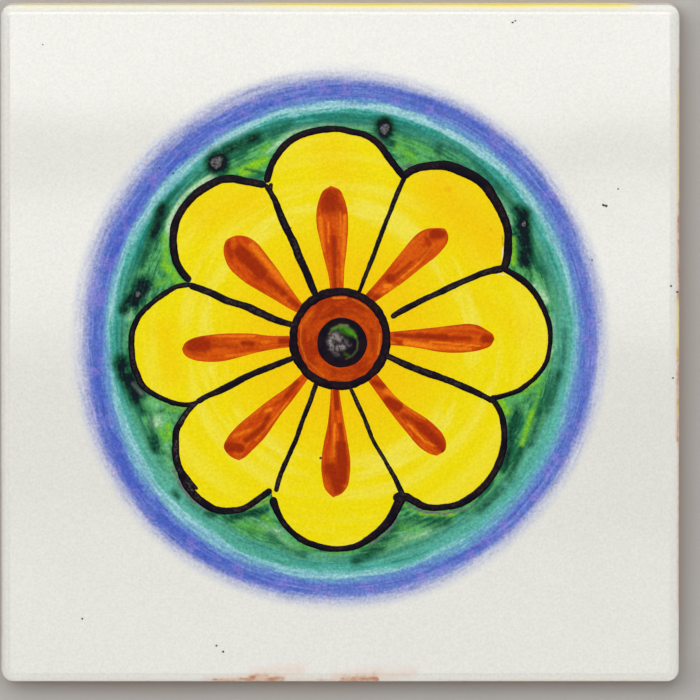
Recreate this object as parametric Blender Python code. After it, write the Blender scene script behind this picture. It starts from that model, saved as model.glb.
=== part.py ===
"""A square hand-painted wall tile of glazed earthenware, lying on its back.

The tile is one fired piece: a pressed slab with a rounded rim round its glazed
face, rounded upright corners, and a back with shallow grooves that key it into
its bed of adhesive. Its origin is the centre of the back. +Z points out of the
glazed face, and +Y towards the top edge of the painted motif.
"""

import bmesh
import bpy

# Driving dimensions, in metres
TILE_SIDE = 0.100
TILE_THICKNESS = 0.008
CORNER_RADIUS = 0.0018
RIM_RADIUS = 0.0014
BACK_EDGE_RADIUS = 0.0004
ROUND_SEGMENTS = 8
BACK_EDGE_SEGMENTS = 2

# The keying grooves pressed into the back, all alike and side by side along X
GROOVE_COUNT = 7
GROOVE_PITCH = 0.012
GROOVE_WIDTH = 0.006
GROOVE_FLOOR_WIDTH = 0.0048
GROOVE_DEPTH = 0.0007
GROOVE_END_MARGIN = 0.009
GROOVE_LENGTH = TILE_SIDE - 2 * GROOVE_END_MARGIN
# A cutter starts this far below the back, so that it cuts cleanly through the face
CUTTER_OVERLAP = 0.0005

GLAZE_WHITE = (0.83, 0.82, 0.77, 1.0)
GLAZE_ROUGHNESS = 0.15


def clear_scene():
    for obj in list(bpy.data.objects):
        bpy.data.objects.remove(obj, do_unlink=True)


def new_collection(name):
    collection = bpy.data.collections.new(name)
    bpy.context.scene.collection.children.link(collection)
    return collection


def glazed_earthenware():
    material = bpy.data.materials.new("glazed_earthenware")
    material.use_nodes = True
    shader = material.node_tree.nodes["Principled BSDF"]
    shader.inputs["Base Color"].default_value = GLAZE_WHITE
    shader.inputs["Roughness"].default_value = GLAZE_ROUGHNESS
    shader.inputs["Metallic"].default_value = 0.0
    return material


def object_from_bmesh(bm, name, collection):
    mesh = bpy.data.meshes.new(name)
    bm.to_mesh(mesh)
    bm.free()
    obj = bpy.data.objects.new(name, mesh)
    collection.objects.link(obj)
    return obj


def box_bmesh(size, centre):
    """A closed box of the given size, made from the cube primitive."""
    bm = bmesh.new()
    bmesh.ops.create_cube(bm, size=1.0)
    bmesh.ops.scale(bm, vec=size, verts=bm.verts)
    bmesh.ops.translate(bm, vec=centre, verts=bm.verts)
    return bm


def edges_level_at(bm, height):
    """The edges whose two ends both lie at this height."""
    close = 1e-6
    return [e for e in bm.edges if all(abs(v.co.z - height) < close for v in e.verts)]


def upright_edges(bm):
    close = 1e-6
    return [e for e in bm.edges if abs(e.verts[0].co.z - e.verts[1].co.z) > close]


def round_edges(bm, edges, radius, segments):
    bmesh.ops.bevel(
        bm,
        geom=edges,
        offset=radius,
        offset_type="OFFSET",
        segments=segments,
        profile=0.5,
        affect="EDGES",
        clamp_overlap=False,
    )


def tile_slab(collection):
    """The slab: a box whose upright corners are rounded first, then the rim of its face and the edge of its back."""
    bm = box_bmesh((TILE_SIDE, TILE_SIDE, TILE_THICKNESS), (0, 0, TILE_THICKNESS / 2))
    round_edges(bm, upright_edges(bm), CORNER_RADIUS, ROUND_SEGMENTS)
    round_edges(bm, edges_level_at(bm, TILE_THICKNESS), RIM_RADIUS, ROUND_SEGMENTS)
    round_edges(bm, edges_level_at(bm, 0.0), BACK_EDGE_RADIUS, BACK_EDGE_SEGMENTS)
    tile = object_from_bmesh(bm, "wall_tile", collection)
    tile.data.materials.append(glazed_earthenware())
    tile.data.shade_smooth()
    tile.data.set_sharp_from_angle(angle=0.6)
    return tile


def groove_cutter(index, collection):
    """One groove's shape: a long box, centred on its place along X, with a floor narrower than its mouth."""
    depth = GROOVE_DEPTH + CUTTER_OVERLAP
    bm = box_bmesh((1.0, GROOVE_LENGTH, depth), (0, 0, (GROOVE_DEPTH - CUTTER_OVERLAP) / 2))
    flank = (GROOVE_WIDTH - GROOVE_FLOOR_WIDTH) / 2
    for vertex in bm.verts:
        # The flanks lean at one slope, and their width at the back face, z = 0, is GROOVE_WIDTH
        lean = flank * vertex.co.z / GROOVE_DEPTH
        vertex.co.x = (GROOVE_WIDTH / 2 - lean) * (1 if vertex.co.x > 0 else -1)
        vertex.co.y -= lean * (1 if vertex.co.y > 0 else -1)
    place = (index - (GROOVE_COUNT - 1) / 2) * GROOVE_PITCH
    bmesh.ops.translate(bm, vec=(place, 0, 0), verts=bm.verts)
    cutter = object_from_bmesh(bm, f"groove_cutter_{index + 1}", collection)
    cutter.hide_render = True
    cutter.display_type = "WIRE"
    return cutter


def cut_grooves(tile, cutters):
    """Presses every keying groove into the tile's back."""
    for index in range(GROOVE_COUNT):
        groove_cutter(index, cutters)
    cut = tile.modifiers.new("keying_grooves", "BOOLEAN")
    cut.operation = "DIFFERENCE"
    cut.operand_type = "COLLECTION"
    cut.collection = cutters
    cut.solver = "EXACT"


def main():
    clear_scene()
    parts = new_collection("wall_tile")
    cutters = new_collection("cutters")
    tile = tile_slab(parts)
    cut_grooves(tile, cutters)


main()
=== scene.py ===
"""The looks of a hand-painted wall tile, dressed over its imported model.

The tile lies on its back with its glazed face up. Its origin is the centre of the
back, +Z points out of the face, and +Y towards the top edge of the painted rosette.
"""

import bmesh
import bpy
import numpy as np
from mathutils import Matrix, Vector


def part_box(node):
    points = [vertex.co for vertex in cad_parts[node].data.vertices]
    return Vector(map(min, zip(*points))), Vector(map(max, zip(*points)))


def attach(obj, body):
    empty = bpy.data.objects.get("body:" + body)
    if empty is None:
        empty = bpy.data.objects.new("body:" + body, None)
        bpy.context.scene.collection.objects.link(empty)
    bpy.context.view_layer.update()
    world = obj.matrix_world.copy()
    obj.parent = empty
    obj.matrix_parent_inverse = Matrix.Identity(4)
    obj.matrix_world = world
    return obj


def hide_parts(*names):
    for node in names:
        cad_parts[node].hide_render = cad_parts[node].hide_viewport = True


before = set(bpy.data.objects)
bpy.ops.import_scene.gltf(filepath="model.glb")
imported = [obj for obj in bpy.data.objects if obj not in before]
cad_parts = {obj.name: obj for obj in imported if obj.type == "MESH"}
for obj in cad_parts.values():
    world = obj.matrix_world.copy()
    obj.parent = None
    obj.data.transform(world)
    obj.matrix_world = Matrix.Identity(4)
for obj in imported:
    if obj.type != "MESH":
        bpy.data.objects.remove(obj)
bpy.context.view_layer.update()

# The clay body
# A slab of earthenware, pressed in a die while damp. Its back is keyed with seven shallow
# grooves, and it is fired once before it is glazed, so it stays rough where no glaze reaches.

MM = 0.001
_, high_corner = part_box("wall_tile")
HALF_SIDE = high_corner[0]
THICKNESS = high_corner[2]
CORNER_RADIUS = 1.8 * MM
RIM_RADIUS = 1.4 * MM
BACK_EDGE_RADIUS = 0.4 * MM
GLAZE_THICKNESS = 0.25 * MM
# The brushwork stands this far above the glaze, up to the top of the tile
PAINT_RELIEF = 0.1 * MM
FACE_LEVEL = THICKNESS - PAINT_RELIEF

GROOVE_COUNT = 7
GROOVE_PITCH = 12 * MM
GROOVE_HALF_WIDTH = 3 * MM
GROOVE_HALF_LENGTH = 41 * MM
GROOVE_FLANK = 0.6 * MM
GROOVE_DEPTH = 0.7 * MM
CLAY_UNEVENNESS = 0.04 * MM


def rounded_square(x_lines, y_lines, half, corner):
    """A grid of places inside a square with round corners.

    Past the inner square, each corner patch is drawn in from a square to a quarter disc:
    its two offsets are multiplied by the larger of them over their joint length.
    """
    x, y = np.meshgrid(x_lines, y_lines)
    core = half - corner
    over_x = np.maximum(np.abs(x) - core, 0)
    over_y = np.maximum(np.abs(y) - core, 0)
    length = np.maximum(np.hypot(over_x, over_y), 1e-12)
    draw = np.maximum(over_x, over_y) / length
    x = np.sign(x) * (np.minimum(np.abs(x), core) + over_x * draw)
    y = np.sign(y) * (np.minimum(np.abs(y), core) + over_y * draw)
    return x, y


def outward(x, y, core):
    """The unit direction out of the slab at its outline: away from the nearest point of its inner square."""
    away = np.stack([x - np.clip(x, -core, core), y - np.clip(y, -core, core)], -1)
    return away / np.linalg.norm(away, axis=-1, keepdims=True)


def ripple(x, y, length, seed):
    """A gentle unevenness, -1 to 1: the mean of seven cosine waves of about one length, each its own way."""
    random = np.random.default_rng(seed)
    turn, start = random.uniform(0, 2 * np.pi, (2, 7))
    wave = length * random.uniform(0.7, 1.4, 7)
    along = (x[..., None] * np.cos(turn) + y[..., None] * np.sin(turn)) / wave
    return np.cos(2 * np.pi * along + start).mean(-1)


def numbered(rows, columns, first=0):
    """The numbers of a grid's vertices, row after row."""
    return first + np.arange(rows * columns).reshape(rows, columns)


def grid_cells(rows, columns):
    """The four corners of each cell of a grid, anticlockwise where columns go right and rows go up."""
    number = numbered(rows, columns)
    return np.stack([number[:-1, :-1], number[:-1, 1:], number[1:, 1:], number[1:, :-1]], -1).reshape(-1, 4)


def grid_outline(rows, columns):
    """The outer vertices of a grid, in order all the way round."""
    number = numbered(rows, columns)
    return np.concatenate([number[0, :-1], number[:-1, -1], number[-1, :0:-1], number[:0:-1, 0]])


def loop_cells(loops):
    """The four corners of each cell between one closed loop of vertices and the next."""
    ahead = np.roll(loops, -1, axis=1)
    return np.stack([loops[:-1], ahead[:-1], ahead[1:], loops[1:]], -1).reshape(-1, 4)


def make_piece(name, places, faces, sharp_angle=None):
    """A mesh object from its places and faces, facing outwards and shaded smooth."""
    mesh = bpy.data.meshes.new(name)
    mesh.from_pydata(places.reshape(-1, 3), [], faces)
    shape = bmesh.new()
    shape.from_mesh(mesh)
    bmesh.ops.recalc_face_normals(shape, faces=shape.faces)
    shape.to_mesh(mesh)
    shape.free()
    mesh.shade_smooth()
    if sharp_angle is not None:
        mesh.set_sharp_from_angle(angle=sharp_angle)
    piece = bpy.data.objects.new(name, mesh)
    bpy.context.scene.collection.objects.link(piece)
    return piece


def make_slab(name, face, skirt, sharp_angle=None):
    """A closed slab: its face's grid, rows of places that go round and away from it, and a flat polygon."""
    rows, columns = face.shape[:2]
    loops = np.vstack([grid_outline(rows, columns), numbered(*skirt.shape[:2], first=rows * columns)])
    faces = grid_cells(rows, columns).tolist() + loop_cells(loops).tolist() + [loops[-1].tolist()]
    places = np.concatenate([face.reshape(-1, 3), skirt.reshape(-1, 3)])
    return make_piece(name, places, faces, sharp_angle)


def skirt_places(edge, away, offset, height):
    """Rows round an outline: its own places, moved out by their offsets and set at their heights."""
    flat = edge + away * offset[..., None]
    return np.concatenate([flat, height[..., None]], -1)


def groove_depth(x, y):
    """The grooves' depth, times an eased step from 0 at a groove's mouth to 1 at the foot of its flank."""
    last = (GROOVE_COUNT - 1) / 2
    centre = np.clip(np.round(x / GROOVE_PITCH), -last, last) * GROOVE_PITCH
    inside = np.minimum(GROOVE_HALF_WIDTH - np.abs(x - centre), GROOVE_HALF_LENGTH - np.abs(y))
    step = np.clip(inside / GROOVE_FLANK, 0, 1)
    return GROOVE_DEPTH * step * step * (3 - 2 * step)


def both_sides(lines):
    """Grid lines on both sides of the middle, in order and without repeats."""
    return np.unique(np.round(np.concatenate([-lines, lines]), 7))


body_half = HALF_SIDE - GLAZE_THICKNESS - BACK_EDGE_RADIUS
body_corner = CORNER_RADIUS - GLAZE_THICKNESS - BACK_EDGE_RADIUS
corner_lines = np.linspace(body_half - body_corner, body_half, 6)
# Lines are close together where they cross a groove's flank
flank_lines = np.linspace(GROOVE_HALF_WIDTH - GROOVE_FLANK - 0.1 * MM, GROOVE_HALF_WIDTH + 0.1 * MM, 7)
groove_centres = np.arange(4) * GROOVE_PITCH
across_grooves = (groove_centres[:, None] + np.concatenate([-flank_lines, flank_lines])).ravel()
groove_end_lines = flank_lines + GROOVE_HALF_LENGTH - GROOVE_HALF_WIDTH
between_grooves = groove_centres + GROOVE_PITCH / 2
x_lines = both_sides(np.concatenate([across_grooves, groove_centres, between_grooves, corner_lines]))
along_grooves = np.arange(0, 40, 1.5) * MM
past_grooves = np.arange(42, 48) * MM
y_lines = both_sides(np.concatenate([along_grooves, groove_end_lines, past_grooves, corner_lines]))
back_x, back_y = rounded_square(x_lines, y_lines, body_half, body_corner)
back_rise = CLAY_UNEVENNESS * (0.5 + 0.5 * ripple(back_x, back_y, 9 * MM, seed=3))
inland = np.clip((body_half - np.maximum(np.abs(back_x), np.abs(back_y))) / MM, 0, 1)
back_face = np.stack([back_x, back_y, groove_depth(back_x, back_y) + back_rise * inland], -1)

rim = grid_outline(*back_x.shape)
body_edge = back_face.reshape(-1, 3)[rim, :2]
body_away = outward(body_edge[:, 0], body_edge[:, 1], body_half - body_corner)
body_rim_radius = RIM_RADIUS - GLAZE_THICKNESS
body_rim_foot = FACE_LEVEL - RIM_RADIUS
quarter = np.linspace(0, np.pi / 2, 6)[1:]
climb = np.linspace(0, 1, 13)[1:]
body_offset = np.concatenate([
    BACK_EDGE_RADIUS * np.sin(quarter),
    np.full(len(climb), BACK_EDGE_RADIUS),
    BACK_EDGE_RADIUS - body_rim_radius * (1 - np.cos(quarter)),
])
body_height = np.concatenate([
    BACK_EDGE_RADIUS * (1 - np.cos(quarter)),
    BACK_EDGE_RADIUS + (body_rim_foot - BACK_EDGE_RADIUS) * climb,
    body_rim_foot + body_rim_radius * np.sin(quarter),
])
one_row = np.ones((1, len(rim)))
body_offset = body_offset[:, None] * one_row
body_height = body_height[:, None] * one_row
round_walk = np.cumsum(np.linalg.norm(body_edge - np.roll(body_edge, 1, axis=0), axis=1))
side_wear = 0.5 + 0.5 * ripple(round_walk + 0 * body_height, 3 * body_height, 6 * MM, seed=8)
body_offset -= CLAY_UNEVENNESS * side_wear
clay_body = make_slab(
    "clay_body", back_face, skirt_places(body_edge, body_away, body_offset, body_height), sharp_angle=0.7
)


def seen(red, green, blue):
    """A colour as a screen shows it, 0 to 255, turned into the linear light that a shader takes."""
    part = np.array((red, green, blue)) / 255
    linear = np.where(part <= 0.04045, part / 12.92, ((part + 0.055) / 1.055) ** 2.4)
    return (*linear.tolist(), 1.0)


def plug(socket, value):
    """Links another node's output to a socket, or sets the socket to a number, a colour or a place."""
    if isinstance(value, bpy.types.NodeSocket):
        socket.id_data.links.new(value, socket)
    else:
        socket.default_value = value


def add_node(tree, kind, inputs, **settings):
    """One shader node with its settings, and with what is linked to its sockets or set on them."""
    new = tree.nodes.new(kind)
    for name, value in settings.items():
        setattr(new, name, value)
    for name, value in inputs.items():
        plug(new.inputs[name], value)
    return new


def tree_of(*values):
    """The node tree of the first value that is another node's output."""
    return next(value.id_data for value in values if isinstance(value, bpy.types.NodeSocket))


def maths(operation, first, second=0.0, clamp=False):
    """A step of arithmetic on two outputs or numbers, whose result may be held from 0 to 1."""
    inputs = {0: first, 1: second}
    new = add_node(tree_of(first, second), "ShaderNodeMath", inputs, operation=operation, use_clamp=clamp)
    return new.outputs[0]


def plus(first, second, clamp=False):
    """The sum of two outputs or numbers."""
    return maths("ADD", first, second, clamp)


def minus(first, second, clamp=False):
    """The first output or number less the second."""
    return maths("SUBTRACT", first, second, clamp)


def times(first, second, clamp=False):
    """The product of two outputs or numbers."""
    return maths("MULTIPLY", first, second, clamp)


def eased(value, start, end, low=0.0, high=1.0):
    """A value that goes from low to high, as a smooth step, while another goes from start to end."""
    inputs = {"Value": value, "From Min": start, "From Max": end, "To Min": low, "To Max": high}
    new = add_node(value.id_data, "ShaderNodeMapRange", inputs, interpolation_type="SMOOTHSTEP")
    return new.outputs["Result"]


def blended(load, under, over):
    """One colour laid over another by a load from 0 to 1."""
    inputs = {0: load, 6: under, 7: over}
    return add_node(tree_of(load, under, over), "ShaderNodeMix", inputs, data_type="RGBA").outputs[2]


def cloudy(place, scale, detail=2.0, roughness=0.5):
    """Soft noise, 0 to 1, with so many cells to the metre."""
    inputs = {"Vector": place, "Scale": scale, "Detail": detail, "Roughness": roughness}
    return add_node(place.id_data, "ShaderNodeTexNoise", inputs).outputs["Fac"]


def new_material(name, **constants):
    """A material that isn't metal, with its steady values set on its shader's own sockets."""
    material = bpy.data.materials.new(name)
    material.use_nodes = True
    tree = material.node_tree
    shader = tree.nodes["Principled BSDF"]
    shader.inputs["Metallic"].default_value = 0.0
    for socket, value in constants.items():
        shader.inputs[socket.replace("_", " ")].default_value = value
    return material, tree, add_node(tree, "ShaderNodeTexCoord", {}).outputs["Object"]


def surfaced(material, colour, roughness, relief=None, depth=0.0):
    """Gives a material its colour, its roughness and a relief that is so many metres deep."""
    shader = material.node_tree.nodes["Principled BSDF"]
    plug(shader.inputs["Base Color"], colour)
    plug(shader.inputs["Roughness"], roughness)
    if relief is not None:
        inputs = {"Strength": 1.0, "Distance": depth, "Height": relief}
        bump = add_node(material.node_tree, "ShaderNodeBump", inputs)
        plug(shader.inputs["Normal"], bump.outputs["Normal"])
    return material


def fired_clay():
    """Buff-red earthenware: a cloudy ground, darker grog and iron specks, pale dust, and open pores."""
    material, tree, place = new_material("fired_clay", IOR=1.45)
    cloud = cloudy(place, 140.0, 4.0, 0.6)
    grit = cloudy(place, 2600.0, 3.0, 0.6)
    dust = eased(cloudy(place, 420.0, 5.0, 0.7), 0.52, 0.68)
    ground = blended(cloud, seen(205, 152, 118), seen(184, 124, 90))
    dusted = blended(times(dust, 0.55), ground, seen(226, 200, 176))
    grog = add_node(tree, "ShaderNodeTexVoronoi", {"Vector": place, "Scale": 1500.0, "Randomness": 1.0})
    chips = eased(grog.outputs["Distance"], 0.12, 0.24, 1.0, 0.0)
    kept = times(chips, eased(cloudy(place, 700.0), 0.5, 0.62))
    speckled = blended(times(kept, 0.75), dusted, seen(120, 66, 44))
    grained = blended(eased(grit, 0.35, 0.65, 0.0, 0.22), speckled, seen(150, 98, 70))
    relief = minus(grit, times(kept, 0.8))
    return surfaced(material, grained, eased(grit, 0.3, 0.7, 0.82, 0.97), relief, 0.06 * MM)


def finish_piece(piece, material):
    """Gives a piece its material and tells the frame what it is: part of the one fired tile."""
    piece.data.materials.append(material)
    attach(piece, "root")
    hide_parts("wall_tile")


finish_piece(clay_body, fired_clay())

# The white glaze and its washes
# The fired slab is dipped face down in an opaque white glaze, which covers the face and the
# rim, and runs part of the way down the sides. On it, turned on a wheel, come washes of blue,
# cyan and teal, and greens brushed between the petals; all of them melt into the glaze.

FINE_CELL = 0.28 * MM
FINE_HALF = 40.6 * MM
COARSE_CELL = 1.2 * MM
RIM_ROWS = 10
SIDE_ROWS = 7
HEM_LEVEL = 2.6 * MM
HEM_WAVE = 0.45 * MM
HEM_RUN = 1.7 * MM
GLAZE_SINK = 0.03 * MM
RIPPLE_HEIGHT = 0.006 * MM
RIPPLE_LENGTH = 16 * MM


def face_level(x, y):
    """The height of the glazed face: its level, and the slight ripple of a glaze that has flowed."""
    return FACE_LEVEL + RIPPLE_HEIGHT * (ripple(x, y, RIPPLE_LENGTH, seed=21) - 1)


face_half = HALF_SIDE - RIM_RADIUS
face_corner = CORNER_RADIUS - RIM_RADIUS
face_core = face_half - face_corner
fine_lines = np.arange(0, FINE_HALF, FINE_CELL)
coarse_lines = np.linspace(FINE_HALF, face_core, round((face_core - FINE_HALF) / COARSE_CELL) + 1)
middle_lines = both_sides(np.concatenate([fine_lines, coarse_lines]))
corner_lines = np.linspace(face_core, face_half, 7)[1:]
face_lines = np.concatenate([-corner_lines[::-1], middle_lines, corner_lines])
face_x, face_y = rounded_square(face_lines, face_lines, face_half, face_corner)
glaze_face = np.stack([face_x, face_y, face_level(face_x, face_y)], -1)

rim = grid_outline(*face_x.shape)
glaze_edge = glaze_face.reshape(-1, 3)[rim]
glaze_away = outward(glaze_edge[:, 0], glaze_edge[:, 1], face_core)
turn_round = 2 * np.pi * np.linspace(0, 1, len(rim), endpoint=False)
random = np.random.default_rng(5)
waves = np.arange(3, 40)
wave_height = random.normal(0, 1, len(waves)) / waves ** 0.7
wave_start = random.uniform(0, 2 * np.pi, len(waves))
hem_wave = (wave_height * np.cos(turn_round[:, None] * waves + wave_start)).sum(-1)
ran_down = np.clip(glaze_away[:, 1], 0, 1)
# The glaze hangs lower on the side that it ran down, and is less wavy there
hem = HEM_LEVEL + HEM_WAVE * hem_wave * (1 - 0.6 * ran_down) - HEM_RUN * ran_down

rim_turn = np.linspace(0, np.pi / 2, RIM_ROWS + 1)[1:, None]
hem_turn = np.linspace(0, np.pi / 2, 5)[1:, None]
fall = np.linspace(0, 1, SIDE_ROWS + 1)[1:, None]
rim_foot = glaze_edge[:, 2] - RIM_RADIUS
inner_offset = RIM_RADIUS - GLAZE_THICKNESS - GLAZE_SINK
one_row = np.ones((1, len(rim)))
glaze_offset = np.concatenate([
    RIM_RADIUS * np.sin(rim_turn) * one_row,
    RIM_RADIUS - 0.02 * MM * (1 - np.cos(2 * np.pi * fall)) * one_row,
    RIM_RADIUS - GLAZE_THICKNESS * (1 - np.cos(hem_turn)) * one_row,
    inner_offset * one_row,
    inner_offset * one_row,
    0 * one_row,
])
glaze_height = np.concatenate([
    glaze_edge[:, 2] - RIM_RADIUS * (1 - np.cos(rim_turn)),
    rim_foot + (hem + GLAZE_THICKNESS - rim_foot) * fall,
    hem + GLAZE_THICKNESS * (1 - np.sin(hem_turn)),
    (hem + GLAZE_SINK) * one_row,
    rim_foot * one_row,
    (FACE_LEVEL - GLAZE_THICKNESS - GLAZE_SINK) * one_row,
])
glaze_skirt = skirt_places(glaze_edge[:, :2], glaze_away, glaze_offset, glaze_height)
glaze_coat = make_slab("glaze_coat", glaze_face, glaze_skirt)
glaze_places = np.concatenate([glaze_face.reshape(-1, 3), glaze_skirt.reshape(-1, 3)])

# Places on the face are read off the photograph: in its pixels, rightwards and downwards.
# The camera is tilted, so a pixel covers a little more of the face downwards than across.
PIXEL = 0.14738 * MM
CAMERA_TILT = np.radians(4.0)
PIXEL_STEP = np.array((PIXEL, -PIXEL / np.cos(CAMERA_TILT)))
PHOTO_CENTRE = (340.05, 344.0)
ROUNDEL_CENTRE = (340.0, 340.0)


def on_face(points):
    """Places read off the photograph, as metres on the face: from its centre, with y turned upwards."""
    return (np.asarray(points, float) - PHOTO_CENTRE) * PIXEL_STEP


def in_photo(places):
    """Metres on the face as pixels of the photograph: the other way round."""
    return places[..., :2] / PIXEL_STEP + PHOTO_CENTRE


def dab_load(pixels, dabs, spread=1.0):
    """How much paint a set of brush dabs leaves.

    A dab goes from one point to another with a width and a strength. It leaves the
    strength times e to the minus square of the distance from its line over its width,
    which a spread makes wider, and where dabs cross, the heaviest counts.
    """
    load = np.zeros(len(pixels))
    for x1, y1, x2, y2, width, strength in dabs:
        start = np.array((x1, y1), float)
        run = np.array((x2 - x1, y2 - y1), float)
        share = np.clip((pixels - start) @ run / max(run @ run, 1e-9), 0, 1)
        distance = np.linalg.norm(pixels - start - share[:, None] * run, axis=1)
        load = np.maximum(load, strength * np.exp(-((distance / width / spread) ** 2)))
    return load


def soft_step(value, middle, softness):
    """From 0 to 1 as the value passes the middle: half of one more than the hyperbolic tangent."""
    return 0.5 + 0.5 * np.tanh((value - middle) / softness)


# The wheel's bands, by their radii in pixels at eight directions, anticlockwise from the right
EIGHTHS = np.arange(8) * 45
TEAL_START = 211
CYAN_START = (230, 229.5, 229.5, 226.5, 227, 229, 229, 229)
BLUE_START = (240, 243, 241, 236.5, 236, 244, 242, 242)
BLUE_THINS = (254, 258, 254.5, 250, 249.5, 259, 254, 253.5)
BLUE_HALF_GONE = (260.5, 262.5, 262.5, 264, 259, 264.5, 260.5, 258.5)
BLUE_TAIL = 12
# The bands' looks from one of those radii, counted 0 to 5, to the next: where, colour, how much covers
BAND_STOPS = (
    (0.0, (66, 140, 104), 0.0), (0.3, (42, 126, 104), 0.7), (0.62, (32, 118, 102), 1.0),
    (0.85, (40, 142, 130), 1.0), (1.0, (68, 166, 156), 1.0), (1.25, (92, 176, 172), 1.0),
    (1.5, (96, 168, 186), 1.0), (1.8, (98, 150, 194), 1.0), (2.1, (104, 140, 202), 1.0),
    (2.5, (92, 116, 198), 1.0), (2.85, (96, 120, 200), 0.98), (3.15, (102, 126, 204), 0.93),
    (3.5, (106, 130, 208), 0.78), (4.0, (110, 136, 210), 0.5), (4.5, (120, 142, 212), 0.22),
    (4.8, (124, 144, 212), 0.08), (5.0, (124, 144, 212), 0.0),
)
# How pale the teal is, how white the cyan line and how deep the blue, in the same eight directions
TEAL_PALENESS = (0.7, 0.05, 0.0, 0.1, 0.25, 0.8, 0.4, 0.7)
CYAN_WHITENESS = (0.25, 0.75, 0.85, 0.7, 0.4, 0.5, 0.6, 0.0)
BLUE_DEPTH = (0.3, 0.35, 0.6, 0.65, 0.5, 1.0, 0.2, 0.3)

# Brush dabs between the petals: from x, y, to x, y, width, strength
DARK_DABS = (
    (226, 150, 258, 137, 7, 0.85), (262, 136, 290, 124, 5.5, 0.5), (246, 169, 262, 173, 2, 0.6),
    (163, 208, 153, 236, 6.5, 0.95), (166, 202, 178, 188, 4, 0.5), (160, 226, 152, 244, 5, 0.5),
    (218, 162, 218, 163, 9.5, 1.8), (384, 126, 386, 131, 8, 1.6), (388, 134, 392, 144, 5, 0.6),
    (440, 146, 438, 155, 4.5, 0.55), (450, 149, 462, 155, 4, 0.4), (428, 160, 446, 166, 3, 0.3),
    (472, 162, 490, 178, 4, 0.35), (497, 186, 512, 204, 4, 0.5), (517, 209, 524, 212, 5.5, 1.0),
    (522.5, 214, 525.5, 262, 7, 1.3), (527, 262, 528, 272, 5, 0.6), (513, 234, 516, 234, 1.6, 0.9),
    (542, 268, 548, 282, 4, 0.4), (565, 330, 564, 362, 4, 0.4), (558, 374, 546, 410, 7, 0.55),
    (518, 408, 510, 437, 6.5, 0.72), (510, 437, 505, 470, 5, 0.78), (506, 440, 512, 441, 3, 0.8),
    (541, 412, 530, 444, 5.5, 0.55), (534, 394, 524, 402, 3, 0.45), (521, 450, 509, 480, 5, 0.6),
    (503, 488, 480, 511, 5, 0.5), (406, 520, 448, 522, 5, 0.6), (410, 535, 392, 544, 4, 0.3),
    (356, 561, 382, 547, 6, 0.7), (384, 543, 398, 520, 5, 0.6), (288, 550, 304, 555, 5, 0.45),
    (270, 533, 288, 549, 4, 0.35), (232, 518, 266, 510, 4.5, 0.75), (207, 513, 214, 515, 4, 0.65),
    (174, 492, 178, 496, 4, 0.6), (186, 500, 200, 510, 3, 0.35), (153, 440, 156, 447, 6, 1.0),
    (151, 413, 153, 434, 3, 0.5), (157, 413, 164, 410, 2.5, 0.5), (166, 452, 172, 460, 3, 0.55),
    (121, 362, 126, 377, 7.5, 1.2), (128, 377, 137, 397, 8, 1.25), (136, 396, 144, 412, 5, 0.75),
    (124, 309, 131, 297, 6, 1.0), (144, 283, 135, 301, 8.5, 1.2), (124, 330, 123, 352, 5, 0.35),
    (150, 240, 143, 266, 5.5, 0.62), (130, 340, 128, 360, 3, 0.3), (147, 424, 152, 440, 4, 0.3),
)
LEAF_DABS = (
    (243, 172, 265, 160, 6, 0.9), (262, 152, 268, 146, 4, 0.6), (228, 172, 242, 170, 5, 0.55),
    (396, 146, 414, 158, 5, 0.6), (404, 160, 420, 162, 4, 0.5), (402, 140, 430, 150, 6, 0.35),
    (166, 264, 179, 281, 6, 0.85), (165, 236, 166, 262, 4.5, 0.75), (152, 284, 168, 281, 4.5, 0.6),
    (514, 240, 515, 262, 5, 0.85), (518, 264, 528, 272, 4, 0.5), (512, 272, 526, 281, 3, 0.4),
    (500, 399, 508, 412, 5, 0.95), (526, 388, 540, 378, 4, 0.8), (532, 412, 522, 445, 3.5, 0.8),
    (512, 396, 530, 390, 5, 0.6), (540, 386, 534, 410, 3, 0.55), (516, 410, 510, 425, 3, 0.5),
    (421, 513, 452, 514, 3, 0.9), (404, 504, 416, 512, 3, 0.5), (398, 526, 420, 532, 4, 0.4),
    (248, 509, 268, 500, 3, 0.95), (262, 514, 272, 524, 4, 0.55), (240, 524, 262, 530, 6, 0.45),
    (330, 553, 350, 553, 3, 0.6), (296, 545, 312, 550, 3, 0.45), (356, 550, 374, 541, 3, 0.4),
    (168, 425, 170, 436, 4, 0.9), (168, 408, 184, 410, 4, 0.75), (150, 399, 166, 404, 4, 0.5),
    (160, 430, 166, 440, 4, 0.7), (486, 506, 500, 494, 3, 0.3),
)
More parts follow.
